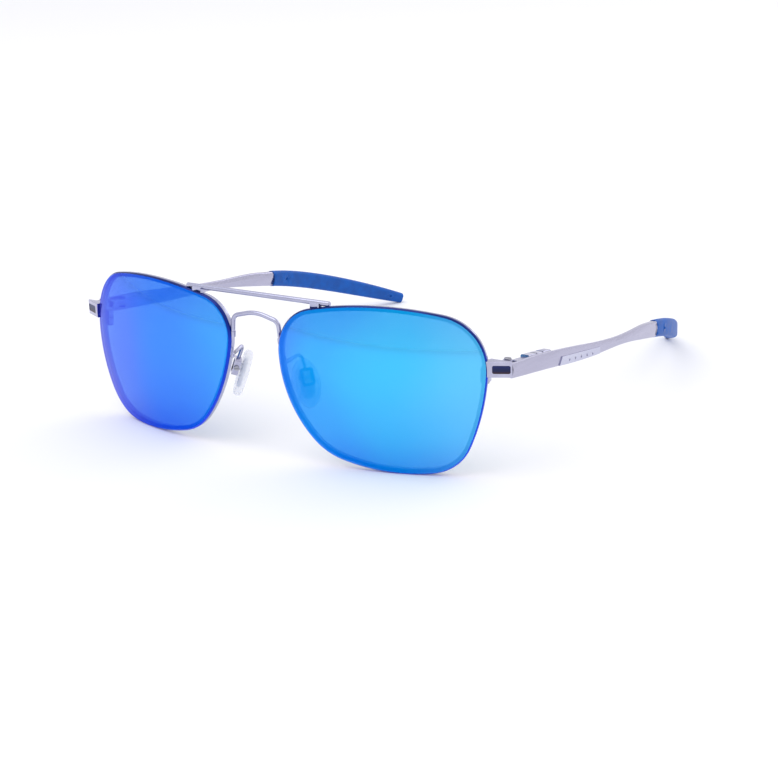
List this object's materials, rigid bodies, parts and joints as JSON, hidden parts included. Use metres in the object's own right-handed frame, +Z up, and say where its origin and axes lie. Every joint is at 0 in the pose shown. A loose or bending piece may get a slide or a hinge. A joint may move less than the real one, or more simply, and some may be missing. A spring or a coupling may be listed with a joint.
{
  "type": "sunglasses",
  "caption": "Metal sunglasses with rounded square mirror lenses, a bridge under a straight brow bar, screwed nose pads, sprung folding temples and soft temple tips.",
  "frame": {"origin": "On the table under the middle of the whole object, temples open, standing on the lower edges of the lenses and the ends of the temple tips.", "axes": "+Z up; +X to the wearer's left; +Y backward from the lenses to the temple tips"},
  "size_m": [0.1422, 0.1531, 0.0443],
  "materials": {
    "frame": "polished, faintly brushed silver with a lavender cast",
    "lens": "blue mirror coating over a grey tint",
    "inlay": "gloss navy enamel",
    "tip": "satin blue soft sleeve",
    "pad": "clear soft silicone",
    "pad_core": "clear stiff plastic",
    "steel": "bright drawn wire",
    "screw": "turned steel, slotted"
  },
  "bodies": {
    "front": {"bridge": "frame", "brow_bar": "frame", "left_lens": "lens", "left_rim": "frame", "left_upper_block": "frame", "left_lower_block": "frame", "left_rim_screw": "screw", "left_end_piece": "frame", "left_end_inlay": "inlay", "left_front_hinge": "frame", "left_hinge_screw": "screw", "left_pad_arm": "frame", "left_pad_box": "frame", "left_pad_screw": "screw", "right_lens": "lens", "right_rim": "frame", "right_upper_block": "frame", "right_lower_block": "frame", "right_rim_screw": "screw", "right_end_piece": "frame", "right_end_inlay": "inlay", "right_front_hinge": "frame", "right_hinge_screw": "screw", "right_pad_arm": "frame", "right_pad_box": "frame", "right_pad_screw": "screw"},
    "left_eye": {"left_hinge_eye": "frame", "left_hinge_rod": "steel"},
    "left_temple": {"left_temple": "frame", "left_temple_tip": "tip", "left_side_plate": "frame", "left_hinge_casing": "frame", "left_hinge_spring": "steel"},
    "left_pad": {"left_nose_pad": "pad", "left_pad_core": "pad_core"},
    "right_eye": {"right_hinge_eye": "frame", "right_hinge_rod": "steel"},
    "right_temple": {"right_temple": "frame", "right_temple_tip": "tip", "right_side_plate": "frame", "right_hinge_casing": "frame", "right_hinge_spring": "steel"},
    "right_pad": {"right_nose_pad": "pad", "right_pad_core": "pad_core"}
  },
  "joints": [
    {"name": "left_temple_fold", "type": "hinge", "parent": "front", "child": "left_eye", "pos_m": [0.0666, -0.05829, 0.02936], "axis": [0, 0, 1], "range_deg": [-7, 86]},
    {"name": "left_spring_slide", "type": "slide", "parent": "left_eye", "child": "left_temple", "axis": [0.0329, 0.9921, -0.121], "range_m": [0, 0.0015], "stiffness_N_per_m": 3000, "springref_m": -0.0005, "deforming": ["left_hinge_spring"]},
    {"name": "left_pad_swivel", "type": "hinge", "parent": "front", "child": "left_pad", "pos_m": [0.01168, -0.06817, 0.02131], "axis": [-0.6404, -0.7632, -0.086], "range_deg": [-8, 8]},
    {"name": "right_temple_fold", "type": "hinge", "parent": "front", "child": "right_eye", "pos_m": [-0.0666, -0.05829, 0.02936], "axis": [0, 0, -1], "range_deg": [-7, 78]},
    {"name": "right_spring_slide", "type": "slide", "parent": "right_eye", "child": "right_temple", "axis": [-0.0329, 0.9921, -0.121], "range_m": [0, 0.0015], "stiffness_N_per_m": 3000, "springref_m": -0.0005, "deforming": ["right_hinge_spring"]},
    {"name": "right_pad_swivel", "type": "hinge", "parent": "front", "child": "right_pad", "pos_m": [-0.01168, -0.06817, 0.02131], "axis": [0.6404, -0.7632, -0.086], "range_deg": [-8, 8]}
  ]
}
